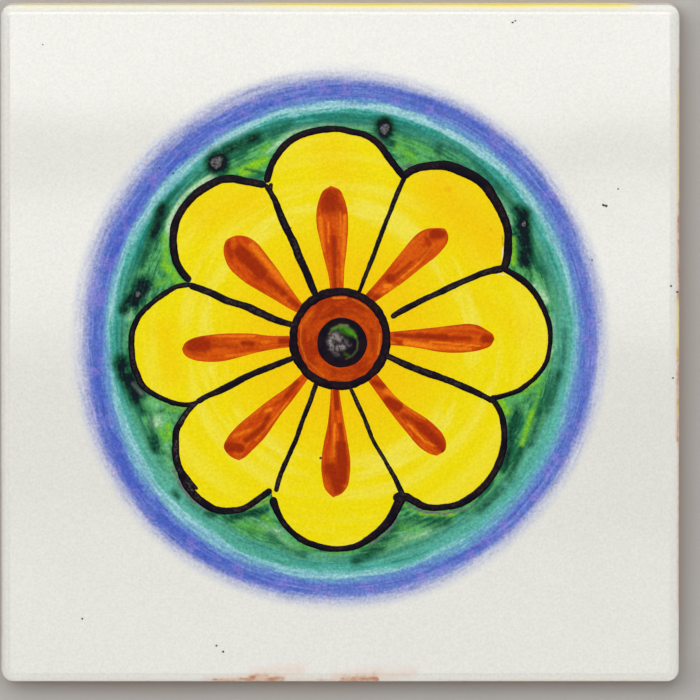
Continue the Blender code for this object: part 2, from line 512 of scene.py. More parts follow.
PALE_DABS = (
    (214, 175, 184, 194, 2.6, 1.1), (184, 194, 169, 222, 2.8, 1.1), (169, 222, 165, 248, 2.8, 1.0),
    (266, 154, 292, 132, 3.6, 0.7), (294, 130, 332, 123, 3.6, 0.8), (190, 204, 203, 190, 2, 0.4),
    (128, 318, 130, 306, 4, 0.8), (126, 330, 124, 346, 3, 0.5), (131, 304, 150, 292, 2.6, 0.75),
    (158, 421, 158, 422, 8, 0.85), (166, 441, 170, 470, 3, 0.55), (172, 474, 188, 492, 3, 0.55),
    (186, 494, 204, 506, 2.5, 0.7), (150, 400, 158, 405, 5, 0.6), (240, 520, 258, 520, 3, 0.3),
    (488, 184, 506, 206, 3.5, 0.5), (506, 206, 512, 224, 3, 0.5), (536, 286, 546, 300, 5, 0.75),
    (552, 318, 556, 345, 4, 0.6), (554, 345, 536, 378, 4, 0.75), (534, 456, 504, 493, 4, 0.55),
    (262, 526, 280, 532, 6, 0.5), (278, 536, 296, 549, 3, 0.5), (310, 556, 340, 558, 4, 0.5),
    (404, 538, 428, 534, 6, 0.6), (380, 552, 402, 544, 4, 0.5), (436, 532, 470, 518, 4, 0.45),
    (332, 122, 372, 126, 3.6, 0.75), (452, 163, 474, 173, 2.5, 0.4),
)
# Grey scum beside the black lines
SMOKE_DABS = (
    (408, 506, 424, 512, 1.4, 0.8), (424, 512, 446, 514, 1.5, 0.9), (446, 514, 470, 508, 1.4, 0.7),
    (470, 508, 488, 496, 1.3, 0.4), (398, 517, 388, 532, 1.6, 0.7), (388, 532, 370, 546, 1.5, 0.6),
    (172, 466, 180, 484, 1.6, 0.8), (180, 484, 194, 502, 2.0, 0.9), (194, 502, 208, 511, 1.6, 0.6),
    (252, 508, 268, 500, 1.5, 0.6), (400, 168, 410, 165, 2.0, 0.7), (240, 174, 262, 180, 1.4, 0.3),
    (166, 406, 184, 411, 1.6, 0.5), (184, 411, 174, 426, 1.6, 0.4), (133, 384, 142, 394, 2.4, 0.6),
    (376, 136, 384, 145, 1.6, 0.5),
)
# The washes' dabs are softer than their widths by this much
WASH_SPREAD = 1.2
# Where the clay shows through a thinly glazed rim, and where yellow colour was brushed past the edge
THIN_GLAZE_DABS = (
    (214, 681, 252, 680, 3, 0.8), (252, 680, 264, 678, 5.5, 1.0), (266, 681, 282, 680, 4.5, 0.9),
    (256, 675, 300, 670, 10, 0.36), (342, 681, 376, 680, 4, 0.95), (350, 678, 368, 678, 4, 0.6),
    (384, 676, 412, 672, 8, 0.36), (318, 681, 340, 681, 2.5, 0.5), (206, 682, 250, 679, 7, 0.36),
    (282, 680, 320, 680, 6, 0.3), (336, 679, 380, 674, 9, 0.4), (680, 300, 680, 350, 3.4, 0.55),
    (450, 683, 650, 683, 2.5, 0.5), (40, 683, 190, 683, 2.5, 0.35), (680, 70, 680, 205, 3.4, 0.6),
    (680, 205, 680, 300, 3.8, 0.85), (680, 350, 680, 440, 4, 0.95), (681, 440, 681, 610, 3.6, 0.8),
    (0, 470, 0, 640, 2.5, 0.5), (0, 60, 0, 420, 2, 0.25), (590, 2, 600, 2, 3, 0.6), (26, 3, 34, 3, 3, 0.5),
)

glaze_pixels = in_photo(glaze_places)
from_centre = glaze_pixels - ROUNDEL_CENTRE
wheel_radius = np.linalg.norm(from_centre, axis=1)
wheel_angle = np.degrees(np.arctan2(-from_centre[:, 1], from_centre[:, 0]))


def by_direction(values):
    """A value for each place, which changes evenly from one of eight directions to the next."""
    return np.interp(wheel_angle, EIGHTHS, values, period=360)


band_radii = [np.full(len(wheel_radius), TEAL_START)]
band_radii += [by_direction(radii) for radii in (CYAN_START, BLUE_START, BLUE_THINS, BLUE_HALF_GONE)]
band_radii.append(band_radii[-1] + BLUE_TAIL)
# A place's band is the number of radii inside it, and the share of the way to the next
band = sum(
    np.clip((wheel_radius - inner) / (outer - inner), 0, 1)
    for inner, outer in zip(band_radii[:-1], band_radii[1:])
)

# How strong the yellow is along the top side, at places in pixels from the left; a little of it
# is on the right rim too
STAIN_PLACES = (4, 30, 150, 240, 300, 500, 590, 625, 645)
STAIN_STRENGTHS = (0, 0.5, 0.35, 0.55, 0.9, 1, 1, 0.8, 0)
RIGHT_STAIN_DABS = (
    (680, 90, 680, 200, 2.6, 0.5), (680, 302, 680, 356, 3.2, 0.6), (680, 398, 680, 416, 2.2, 0.5),
)
edge_height = glaze_places[:, 2]
top_side = soft_step(glaze_places[:, 1], HALF_SIDE - 0.75 * MM, 0.15 * MM)
low_on_rim = 1 - soft_step(edge_height, FACE_LEVEL - 0.55 * MM, 0.35 * MM)
stain_strength = np.interp(glaze_pixels[:, 0], STAIN_PLACES, STAIN_STRENGTHS)
brushed = 1 + 0.5 * ripple(0.3 * glaze_places[:, 0], 2 * edge_height, 5 * MM, seed=17)
stain_load = top_side * low_on_rim * stain_strength * brushed
# The clay shows through, and the yellow lies on the right side, only near the rim
thin_foot = 5.6 * MM + 0.9 * MM * ripple(glaze_places[:, 0], glaze_places[:, 1], 7 * MM, seed=31)
near_rim = soft_step(edge_height, thin_foot, 0.5 * MM)
thin_load = dab_load(glaze_pixels, THIN_GLAZE_DABS) * near_rim
stain_load = np.maximum(stain_load, dab_load(glaze_pixels, RIGHT_STAIN_DABS) * near_rim)


def store(piece, name, values):
    """Keeps one number or three for each vertex, under the name that the material reads them by."""
    kind, field = ("FLOAT", "value") if values.ndim == 1 else ("FLOAT_VECTOR", "vector")
    attribute = piece.data.attributes.new(name, kind, "POINT")
    attribute.data.foreach_set(field, values.astype(np.float32).ravel())


def store_dabs(piece, places, spread=1.0, **loads):
    """Keeps the load that each set of dabs leaves on a piece, under the name that it is given by."""
    pixels = in_photo(places.reshape(-1, 3))
    for name, dabs in loads.items():
        store(piece, name, dab_load(pixels, dabs, spread))


store(glaze_coat, "band", band)
for look, degree in (("pale_teal", TEAL_PALENESS), ("white_cyan", CYAN_WHITENESS), ("deep_blue", BLUE_DEPTH)):
    store(glaze_coat, look, by_direction(degree))
store_dabs(
    glaze_coat, glaze_places, WASH_SPREAD, dark_load=DARK_DABS, leaf_load=LEAF_DABS, pale_load=PALE_DABS
)
store_dabs(glaze_coat, glaze_places, smoke_load=SMOKE_DABS)
store(glaze_coat, "thin_glaze", thin_load)
store(glaze_coat, "yellow_stain", stain_load)


def stored(tree, name, output="Fac"):
    """What the mesh carries under this name: a number, or with the other output three of them."""
    return add_node(tree, "ShaderNodeAttribute", {}, attribute_name=name).outputs[output]


def vectors(operation, first, second=None):
    """A step of arithmetic on a vector, with a second one, or a scale, where the operation takes it."""
    new = add_node(first.id_data, "ShaderNodeVectorMath", {0: first}, operation=operation)
    if second is not None:
        plug(new.inputs["Scale" if operation == "SCALE" else 1], second)
    return new.outputs["Value" if operation == "LENGTH" else "Vector"]


def new_group(name, inputs, output, output_kind):
    """A node group with named sockets: the group, what comes into it and the socket of what it gives."""
    group = bpy.data.node_groups.new(name, "ShaderNodeTree")
    for socket, kind in inputs.items():
        group.interface.new_socket(socket, in_out="INPUT", socket_type="NodeSocket" + kind)
    group.interface.new_socket(output, in_out="OUTPUT", socket_type="NodeSocket" + output_kind)
    return group, group.nodes.new("NodeGroupInput").outputs, group.nodes.new("NodeGroupOutput").inputs[output]


def wheel_streaks():
    """Streaks that a brush leaves on a turning tile.

    The noise is read at a place whose first two parts are the direction from the wheel's
    centre, so it changes slowly round a circle, and whose third is the radius, so it
    changes fast across it.
    """
    inputs = {"Place": "Vector", "Centre": "Vector", "Patches Round": "Float", "Streaks Per Metre": "Float"}
    group, taken, given = new_group("wheel_streaks", inputs, "Streak", "Float")
    arm = vectors("MULTIPLY", vectors("SUBTRACT", taken["Place"], taken["Centre"]), (1, 1, 0))
    patches = vectors("SCALE", vectors("NORMALIZE", arm), taken["Patches Round"])
    streaks = times(vectors("LENGTH", arm), taken["Streaks Per Metre"])
    lift = add_node(group, "ShaderNodeCombineXYZ", {"Z": streaks}).outputs[0]
    plug(given, cloudy(vectors("ADD", patches, lift), 1.0, 4.0, 0.6))
    return group


def paint_mottle():
    """A colour made darker and lighter by the paint's grain: times one plus the noise times the strength."""
    inputs = {"Place": "Vector", "Colour": "Color", "Strength": "Float"}
    group, taken, given = new_group("paint_mottle", inputs, "Colour", "Color")
    grain = minus(cloudy(taken["Place"], 2500.0, 2.0, 0.6), 0.5)
    plug(given, vectors("SCALE", taken["Colour"], plus(times(grain, taken["Strength"]), 1.0)))
    return group


STREAKS = wheel_streaks()
MOTTLE = paint_mottle()


def streaked(place, centre, patches, per_metre):
    """The wheel's streaks round a point that is given in pixels of the photograph."""
    centre = (*on_face(centre), 0)
    inputs = {"Place": place, "Centre": centre, "Patches Round": patches, "Streaks Per Metre": per_metre}
    return add_node(place.id_data, "ShaderNodeGroup", inputs, node_tree=STREAKS).outputs["Streak"]


def mottled(place, colour, strength):
    """A colour with the mottle of its paint."""
    inputs = {"Place": place, "Colour": colour, "Strength": strength}
    return add_node(place.id_data, "ShaderNodeGroup", inputs, node_tree=MOTTLE).outputs["Colour"]


def colour_ramp(value, stops):
    """A colour and a coverage that change from stop to stop, and are mixed evenly between two of them."""
    last = stops[-1][0]
    ramp = add_node(value.id_data, "ShaderNodeValToRGB", {"Fac": maths("DIVIDE", value, last)})
    marks = ramp.color_ramp.elements
    while len(marks) < len(stops):
        marks.new(0.5)
    for mark, (position, colour, coverage) in zip(marks, stops):
        mark.position = position / last
        mark.color = (*seen(*colour)[:3], coverage)
    return ramp.outputs["Color"], ramp.outputs["Alpha"]


def painted_glaze():
    """Opaque white glaze, with bands and dabs of colour melted into it, and bare clay where it is thin."""
    material, tree, place = new_material("painted_glaze", IOR=1.5)
    cloud = cloudy(place, 60.0, 3.0, 0.5)
    white = blended(cloud, seen(232, 231, 224), seen(228, 227, 220))
    flecks = eased(cloudy(place, 3100.0, 1.0), 0.68, 0.76, 0.0, 0.3)
    white = blended(flecks, white, seen(206, 200, 186))

    streak = streaked(place, ROUNDEL_CENTRE, 2.6, 700.0)
    fine_streak = streaked(place, ROUNDEL_CENTRE, 8.0, 2000.0)
    patch = cloudy(place, 420.0, 3.0, 0.6)
    powder = cloudy(place, 2700.0, 2.0, 0.6)

    def off_middle(value, share):
        """How far a noise is from its middle, times a share."""
        return times(minus(value, 0.5), share)

    # Between the petals: streaky greens, under everything else
    depth = plus(times(fine_streak, 0.6), times(patch, 0.4))
    green = blended(eased(depth, 0.43, 0.57), seen(90, 172, 102), seen(28, 106, 72))
    band_number = stored(tree, "band")
    inside = eased(band_number, 0.9, 0.6)
    colour = blended(inside, white, green)

    def dabbed(under, name, light, deep, deep_from, deep_to):
        """Soft brush dabs, broken up by streaks and powder, which deepen where they are heaviest."""
        broken = plus(off_middle(patch, 1.1), off_middle(fine_streak, 1.1))
        broken = plus(plus(broken, off_middle(powder, 0.9)), 1.0)
        load = times(stored(tree, name), broken)
        shade = blended(eased(load, deep_from, deep_to), light, deep)
        return blended(eased(load, 0.05, 0.8), under, shade)

    colour = dabbed(colour, "pale_load", seen(128, 196, 142), seen(176, 212, 170), 0.4, 1.0)
    colour = dabbed(colour, "leaf_load", seen(92, 176, 62), seen(132, 196, 34), 0.4, 1.0)

    # The wheel's bands, streaky and powdery
    live = times(eased(band_number, 0.0, 0.3), eased(band_number, 5.0, 4.3))
    swing = plus(off_middle(streak, 1.2), off_middle(fine_streak, 1.0))
    powder_share = eased(band_number, 1.2, 3.2, 0.45, 1.0)
    swing = plus(swing, times(off_middle(powder, 1.0), powder_share))
    swung = plus(band_number, times(swing, live))
    band_colour, coverage = colour_ramp(swung, BAND_STOPS)

    def between(first, second, third, fourth):
        """1 where the band lies from the second place to the third, easing to 0 at the outer two."""
        return times(eased(swung, first, second), eased(swung, fourth, third))

    arc = streaked(place, ROUNDEL_CENTRE, 3.0, 1500.0)
    strand = streaked(place, ROUNDEL_CENTRE, 5.0, 1900.0)
    pale_teal = plus(stored(tree, "pale_teal"), off_middle(arc, 2.2), clamp=True)
    pale_teal = times(pale_teal, between(0.1, 0.35, 0.9, 1.3))
    band_colour = blended(pale_teal, band_colour, seen(96, 180, 156))
    white_cyan = plus(stored(tree, "white_cyan"), off_middle(strand, 2.8), clamp=True)
    white_cyan = times(white_cyan, between(1.0, 1.3, 1.6, 1.95))
    band_colour = blended(times(white_cyan, 0.9), band_colour, seen(164, 212, 216))
    blue = between(1.9, 2.3, 4.0, 4.6)
    deep_blue = plus(stored(tree, "deep_blue"), off_middle(arc, 3.4), clamp=True)
    band_colour = blended(times(times(deep_blue, blue), 0.75), band_colour, seen(62, 86, 188))
    worn = times(eased(strand, 0.5, 0.66), blue)
    band_colour = blended(times(worn, 0.45), band_colour, seen(146, 164, 222))
    lavender = times(eased(patch, 0.5, 0.62, 0.0, 0.45), blue)
    band_colour = blended(lavender, band_colour, seen(140, 126, 212))
    colour = blended(coverage, colour, band_colour)
    colour = dabbed(colour, "dark_load", seen(22, 86, 58), seen(12, 26, 32), 0.6, 1.1)
    colour = dabbed(colour, "smoke_load", seen(96, 108, 100), seen(112, 112, 114), 0.4, 0.9)

    painted = maths("MAXIMUM", coverage, inside)
    colour = mottled(place, colour, eased(painted, 0.0, 1.0, 0.26, 1.2))

    ragged = cloudy(place, 900.0, 4.0, 0.65)
    thin = plus(stored(tree, "thin_glaze"), off_middle(ragged, 0.7))
    clay = blended(eased(patch, 0.4, 0.6), seen(222, 194, 174), seen(194, 138, 104))
    blush = plus(stored(tree, "thin_glaze"), off_middle(ragged, 0.25))
    colour = blended(eased(blush, 0.08, 0.42, 0.0, 0.65), colour, seen(229, 209, 195))
    colour = blended(eased(thin, 0.3, 0.85), colour, clay)
    brush_marks = cloudy(vectors("MULTIPLY", place, (0.25, 0.25, 2.2)), 700.0, 3.0, 0.6)
    stain = plus(off_middle(brush_marks, 1.3), off_middle(ragged, 0.5))
    stain = times(stored(tree, "yellow_stain"), plus(stain, 1.0), clamp=True)
    colour = blended(stain, colour, seen(240, 220, 92))
    # The bare glaze mirrors the lights, the washes are duller, and the stain is all but matt
    dull = maths("MAXIMUM", painted, stain)
    plug(tree.nodes["Principled BSDF"].inputs["Specular IOR Level"], eased(dull, 0.0, 0.9, 0.5, 0.03))
    return surfaced(material, colour, eased(dull, 0.0, 0.9, 0.05, 0.25), cloudy(place, 300.0), 0.002 * MM)


finish_piece(glaze_coat, painted_glaze())

# Yellow enamel on the petals
# Eight petals in one thick, opaque yellow, laid on with a wide brush while the tile turned,
# so it keeps paler rings. It has melted to a film a few hundredths of a millimetre thick.

PETAL_OUTLINES = {
    "top": ((266.8, 183), (271, 166), (280, 151), (295, 138), (310, 132), (330, 129.5), (350, 131.5),
            (369, 137), (381, 147), (390, 159), (399, 171.5), (404.5, 178)),
    "top_right": ((402.5, 178), (411, 171), (424, 166.5), (437, 165.5), (449, 166.5), (462, 171), (477, 179),
                  (487.5, 189.5), (496, 202.5), (502, 214.5), (506.5, 226), (508, 242.5), (507.5, 255.5),
                  (503.5, 269)),
    "right": ((490, 270.5), (503.5, 269), (512.5, 273.5), (523, 281), (533, 291), (542, 305.5), (548, 321),
              (550.5, 335), (549.5, 350), (546.5, 361), (539, 373), (529, 383), (518.5, 390.5),
              (506.5, 395), (497, 397.5), (490.5, 397.5)),
    "bottom_right": ((491.5, 398.5), (499, 409.5), (503, 421.5), (504, 436), (502.5, 451), (498, 466),
                     (490.5, 479), (480, 490.5), (468, 499.5), (453.5, 505.5), (438.5, 507.5),
                     (422.5, 505.5), (413.5, 501), (403, 495)),
    "bottom": ((402, 495.5), (396, 508.5), (388.5, 521.5), (378, 532), (365, 541), (352, 547), (340, 549),
               (331.5, 549), (316, 546), (304, 541), (291.5, 531.5), (281, 519), (275.5, 507), (272.5, 497)),
    "bottom_left_low": ((271.5, 489.5), (264, 495), (253, 503), (241, 509), (228.5, 511), (216, 509.5),
                        (204, 503), (193, 493.5), (184, 482)),
    "bottom_left_high": ((197.5, 489.5), (188.5, 480), (180, 470), (176, 457.5), (175.5, 444), (176, 431.5),
                         (182.5, 419), (190, 409), (197, 402.5)),
    "left": ((199, 401.5), (191.5, 404.5), (179, 404), (167, 400), (153, 394), (143, 386), (137, 374),
             (133, 360.5), (131.5, 345), (132, 332), (139, 316), (149.5, 305.5), (162.5, 295.5),
             (176, 287), (191, 284.5)),
    "top_left": ((190.5, 281.5), (183.5, 274.5), (177.5, 264.5), (174, 251), (173, 238), (175.5, 223),
                 (182, 210), (195, 195), (210, 185), (223, 180), (235, 179.5), (248.5, 182), (266, 185)),
}
FLOWER_CENTRE = (340, 340)
ENAMEL_HEIGHT = 0.02 * MM
RAYS = 640
ENAMEL_RINGS = 44
# How far in from its edge a film reaches its full height
FILM_SLOPE = 0.2 * MM


def distance_walked(path):
    """How far along a path each of its points lies: the running sum of the steps between them."""
    return np.concatenate([[0], np.cumsum(np.linalg.norm(np.diff(path, axis=0), axis=1))])


def smooth_path(points, step):
    """A smooth curve through given points, at even steps.

    Between each two points runs a cubic whose slope at a point is the slope from the
    point before to the point after, with the distance walked as its parameter.
    """
    walked = distance_walked(points)
    slope = np.gradient(points, walked, axis=0)
    at = np.linspace(0, walked[-1], max(round(walked[-1] / step), 2) + 1)
    part = np.clip(np.searchsorted(walked, at, side="right") - 1, 0, len(points) - 2)
    gap = walked[part + 1] - walked[part]
    t = ((at - walked[part]) / gap)[:, None]
    gap = gap[:, None]
    return (
        (2 * t**3 - 3 * t**2 + 1) * points[part]
        + (t**3 - 2 * t**2 + t) * gap * slope[part]
        + (3 * t**2 - 2 * t**3) * points[part + 1]
        + (t**3 - t**2) * gap * slope[part + 1]
    )


flower_edge = np.vstack([smooth_path(on_face(points), PIXEL) for points in PETAL_OUTLINES.values()])
flower_edge -= on_face(FLOWER_CENTRE)
edge_angle = np.arctan2(flower_edge[:, 1], flower_edge[:, 0])
edge_radius = np.hypot(flower_edge[:, 0], flower_edge[:, 1])
order = np.argsort(edge_angle)
ray_angle = np.linspace(-np.pi, np.pi, RAYS, endpoint=False)
ray_reach = np.interp(ray_angle, edge_angle[order], edge_radius[order], period=2 * np.pi)


def make_film(name, centre, angle, inner, outer, rings, height):
    """A closed film on the face, from an inner radius to an outer one along each ray.

    Its rings lie closer together towards the outer edge: their share of the way is one
    less a power of what is left. It rises to its height over the slope beside an edge,
    as a quarter wave, and its underside is two loops sunk in the glaze.
    """
    share = 1 - (1 - np.linspace(0, 1, rings)[:, None]) ** 1.6
    radius = np.maximum(inner + (outer - inner) * share, 0.01 * MM)
    from_edge = outer - radius
    if np.max(inner) > 0:
        from_edge = np.minimum(from_edge, radius - inner)
    lift = height * np.sin(np.pi / 2 * np.clip(from_edge / FILM_SLOPE, 0, 1))
    radius = np.vstack([radius, radius[-1:], radius[:1]])
    lift = np.vstack([lift, lift[:2] * 0 - height])
    x = centre[0] + radius * np.cos(angle)
    y = centre[1] + radius * np.sin(angle)
    places = np.stack([x, y, face_level(x, y) + lift], -1)
    loops = numbered(*places.shape[:2])
    return make_piece(name, places, loop_cells(np.vstack([loops, loops[:1]]))), places


petal_enamel, petal_places = make_film(
    "petal_enamel", on_face(FLOWER_CENTRE), ray_angle, np.zeros(RAYS), ray_reach, ENAMEL_RINGS, ENAMEL_HEIGHT
)

# Where the enamel stops short of the outline, where it is golden, and where orange and olive have run into it
BARE_DABS = (
    (502.8, 248, 502.2, 259, 1.0, 0.7), (496, 273.5, 506, 275, 1.1, 0.6), (262, 184.5, 268, 186, 1.5, 0.8),
)
GOLDEN_DABS = (
    (440, 190, 492, 240, 34, 1.0), (330, 150, 340, 180, 20, 0.5), (205, 215, 250, 200, 22, 0.6),
    (165, 330, 172, 372, 13, 0.6), (150, 440, 152, 441, 8, 0.1), (480, 300, 520, 330, 14, 0.35),
)
RUST_DABS = ((447, 189, 449, 190, 5, 0.6), (480, 230, 484, 250, 6, 0.15))
OLIVE_DABS = (
    (502.4, 237, 502.4, 240, 1.2, 1.0), (503, 243, 503, 245, 1, 1.0), (490, 229, 490.5, 231, 1.8, 0.7),
)
store_dabs(
    petal_enamel, petal_places,
    bare_load=BARE_DABS, golden_load=GOLDEN_DABS, rust_load=RUST_DABS, olive_load=OLIVE_DABS,
)


def yellow_enamel():
    """Bright opaque yellow: golden near the centre, with paler rings and streaks from the wheel."""
    material, tree, place = new_material("yellow_enamel", Specular_IOR_Level=0.04)
    arm = vectors("SUBTRACT", place, (*on_face(FLOWER_CENTRE), 0))
    radius = vectors("LENGTH", vectors("MULTIPLY", arm, (1, 1, 0)))
    streak = streaked(place, FLOWER_CENTRE, 1.8, 420.0)
    fine = streaked(place, FLOWER_CENTRE, 5.0, 1500.0)
    golden = eased(radius, 60 * PIXEL, 150 * PIXEL, 1.0, 0.0)
    golden = maths("MAXIMUM", golden, stored(tree, "golden_load"))
    colour = blended(golden, seen(242, 223, 0), seen(246, 204, 0))

    def paler(under, radii, strength):
        """A pale ring between four radii in pixels, fading at both edges and broken by the streaks."""
        inner, full, fading, outer = (radius_seen * PIXEL for radius_seen in radii)
        ring = times(eased(radius, inner, full), eased(radius, outer, fading))
        load = times(ring, eased(streak, 0.42, 0.62, 0.0, strength))
        load = times(load, minus(1.0, stored(tree, "golden_load"), clamp=True))
        return blended(load, under, seen(244, 232, 92))

    colour = paler(colour, (112, 126, 136, 148), 0.7)
    colour = paler(colour, (146, 152, 158, 166), 0.4)
    colour = paler(colour, (172, 184, 205, 212), 0.25)
    grain = cloudy(place, 1700.0, 2.0, 0.6)
    pale_grain = times(eased(grain, 0.5, 0.75), minus(0.45, times(golden, 0.4)))
    colour = blended(pale_grain, colour, seen(243, 226, 62))
    colour = blended(eased(fine, 0.4, 0.7, 0.0, 0.3), colour, seen(238, 210, 0))
    colour = mottled(place, colour, 0.3)
    colour = blended(eased(stored(tree, "bare_load"), 0.2, 0.8), colour, seen(232, 230, 206))
    colour = blended(eased(stored(tree, "rust_load"), 0.2, 1.2), colour, seen(236, 150, 10))
    colour = blended(eased(stored(tree, "olive_load"), 0.2, 1.2), colour, seen(150, 136, 20))
    return surfaced(material, colour, eased(grain, 0.3, 0.7, 0.18, 0.26), fine, 0.006 * MM)


finish_piece(petal_enamel, yellow_enamel())

# Orange strokes
# One stroke of a full round brush lies in each petal, pressed down at its head and drawn in
# to the centre, and a ring of the same orange, turned on the wheel, lies inside the black one.

ORANGE_HEIGHT = 0.045 * MM
# Each stroke has two edges, from its foot at the centre to its head: the first on the left going outwards
ORANGE_STROKES = (
    (((330.5, 297), (328.5, 277), (325.8, 266), (322.5, 253), (319.5, 240), (316.5, 227), (316, 213),
      (318.5, 200.5), (323, 191), (331, 185.8)),
     ((343.5, 297), (344.2, 277), (344.8, 266), (346.5, 253), (347.7, 240), (348.5, 225), (347.8, 211),
      (344.5, 198.5), (340, 190), (331, 185.8))),
    (((362.5, 298), (384, 273), (396, 258), (405, 247), (412, 238.5), (419.5, 232), (427, 228.7), (436, 228)),
     ((371.5, 304.5), (391, 291), (406, 280.5), (416, 272.5), (425.5, 265), (436, 257), (443, 249.5),
      (448, 242), (448.3, 235), (445, 229), (436, 228))),
    (((382, 332.5), (415, 329.3), (440, 326.5), (456, 324.5), (468, 323.5), (478, 325), (487, 330),
      (493, 334.5), (494.6, 339)),
     ((382, 345), (405, 346.5), (420, 348.5), (438, 352), (452, 353.2), (467, 352.6), (482, 349.8),
      (490.5, 346), (494.6, 339))),
    (((374, 370.5), (386, 385), (394, 394.5), (402, 402), (411, 408.5), (420, 414), (429, 420), (437, 427),
      (443, 434), (446.3, 442), (445.5, 450), (436.5, 456)),
     ((365.5, 377.5), (378, 395), (391.5, 414), (400, 425), (408, 434.5), (414, 442), (420.5, 448.3),
      (428, 453), (436.5, 456))),
    (((338.5, 383), (341.5, 405), (344, 420), (346.5, 433), (348.8, 447), (350.6, 460), (350.2, 474),
      (347.2, 487.5), (342, 493.6), (333, 497.6)),
     ((331, 383), (329.3, 409), (327, 427), (323.5, 443), (321.3, 458), (320.8, 467), (321.8, 477),
      (325.2, 489.6), (333, 497.6))),
    (((310.5, 375.5), (298, 393), (290, 403.5), (283, 412), (276, 422), (264, 439), (252, 451), (245.5, 457),
      (239, 460.5)),
     ((305.5, 371), (286, 388), (270, 399), (259, 407.5), (248.5, 416), (240, 423), (233, 430),
      (226.5, 438.5), (223.3, 447), (226.5, 453), (232, 457.5), (239, 460.5))),
    (((297, 346.5), (270, 350), (258, 352.5), (245.5, 355.8), (235, 358.8), (225.5, 361), (215, 362.2),
      (205, 362), (196, 360.8), (188.6, 358), (183.5, 353.5), (181.9, 348.5)),
     ((297, 335.5), (270, 335.5), (250, 333.2), (237, 333), (224, 333.3), (208, 334.8), (193, 338),
      (185.3, 342.5), (181.9, 348.5))),
    (((301.5, 315), (287, 307.5), (274, 299.7), (257, 290), (246, 283.5), (237.7, 277), (230, 269.5),
      (225, 260), (223.2, 250), (226, 240.5), (236, 235.4)),
     ((306, 309), (288, 284), (277.5, 268.5), (270, 258.5), (263.6, 250), (257.5, 243), (251, 238.3),
      (244, 235.8), (236, 235.4))),
)
STROKE_STEPS = 90
STROKE_ACROSS = 25


def even_edge(points, count):
    """An edge's smooth curve as so many places that are evenly spaced along it."""
    curve = smooth_path(on_face(points), PIXEL / 2)
    walked = distance_walked(curve)
    at = np.linspace(0, walked[-1], count)
    return np.stack([np.interp(at, walked, curve[:, 0]), np.interp(at, walked, curve[:, 1])], -1)


def stroke_loops(left, right, height):
    """A brush stroke between its two edges.

    Across it, a place goes from the left edge to the right one with the cosine of half a
    turn, and rises with the root of its sine; the way back is sunk in the glaze. Towards
    the ends of the stroke its height falls by half.
    """
    half_turn = np.linspace(0, np.pi, STROKE_ACROSS)
    turn = np.concatenate([half_turn, 2 * np.pi - half_turn[-2:0:-1][::4]])
    across = -np.cos(turn)
    flat = left[:, None] * (1 - across[:, None]) / 2 + right[:, None] * (1 + across[:, None]) / 2
    dome = np.sign(np.sin(turn)) * np.abs(np.sin(turn)) ** 0.5
    along = np.linspace(0, 1, len(left))[:, None]
    ease = np.clip(np.minimum(along, 1 - along) / 0.03, 0.55, 1)
    level = face_level(flat[..., 0], flat[..., 1]) + height * dome * ease
    return np.concatenate([flat, level[..., None]], -1), across


def make_strokes(name, strokes):
    """One object of many closed strokes: each stroke's loops of places, with a polygon over each end."""
    places = []
    faces = []
    first = 0
    for loops in strokes:
        number = numbered(*loops.shape[:2], first)
        faces += loop_cells(number).tolist() + [number[0].tolist(), number[-1].tolist()]
        places.append(loops.reshape(-1, 3))
        first += number.size
    return make_piece(name, np.concatenate(places), faces)


orange_loops = []
orange_marks = []
for index, (left_points, right_points) in enumerate(ORANGE_STROKES):
    left_edge = even_edge(left_points, STROKE_STEPS)
    right_edge = even_edge(right_points, STROKE_STEPS)
    loops, across = stroke_loops(left_edge, right_edge, ORANGE_HEIGHT)
    along = np.linspace(0, 1, STROKE_STEPS)[:, None] + 0 * across
    orange_loops.append(loops)
    orange_marks.append(np.stack([along, across + 0 * along, np.full_like(along, index)], -1).reshape(-1, 3))
orange_strokes = make_strokes("orange_strokes", orange_loops)
store(orange_strokes, "brush", np.concatenate(orange_marks))

# Where the paint pooled dark and where it was drawn thin, in the same way as the dabs on the glaze
POOL_DABS = (
    (331, 200, 332, 206, 14, 0.8), (334, 238, 335, 266, 4, 0.7), (334, 270, 335, 288, 4, 0.6),
    (322, 192, 340, 192, 5, 0.6), (434, 234, 441, 234, 6, 1.0), (426, 238, 430, 246, 4, 0.6),
    (389, 279, 392, 278, 5, 1.0), (396, 275, 412, 262, 3.5, 0.7), (412, 262, 430, 250, 3.5, 0.5),
    (368, 294, 378, 298, 6, 0.7), (396, 335, 418, 337, 3.5, 0.8), (418, 336, 446, 337, 4, 0.9),
    (446, 338, 470, 338, 4, 0.6), (484, 339, 490, 339, 5, 1.0), (390, 338, 400, 343, 4, 0.6),
    (388, 401, 398, 407, 6, 1.0), (374, 382, 382, 386, 5, 0.8), (403, 415, 420, 424, 5, 0.7),
    (420, 425, 440, 444, 6, 0.9), (441, 447, 444, 451, 4, 0.9), (341, 445, 342, 480, 7, 1.0),
    (340, 425, 342, 442, 4, 0.7), (336, 391, 337, 408, 3.5, 1.0), (330, 412, 330, 450, 2, 0.5),
    (330, 468, 338, 488, 9, 0.85), (228, 447, 240, 448, 6, 1.0), (246, 440, 262, 428, 5, 0.75),
    (262, 428, 269, 417, 4, 0.75), (297, 382, 286, 396, 4, 0.7), (286, 396, 276, 405, 3, 0.4),
    (193, 346, 203, 346, 11, 0.85), (214, 345, 236, 346, 7, 0.5), (243, 343, 252, 344, 4, 0.8),
    (246, 348, 258, 348, 3.5, 0.5), (281, 341, 289, 341, 5, 0.8), (241, 252, 262, 274, 8, 1.0),
    (262, 274, 284, 294, 5, 0.7), (228, 244, 232, 256, 4, 0.6), (290, 300, 297, 306, 5, 0.7),
)
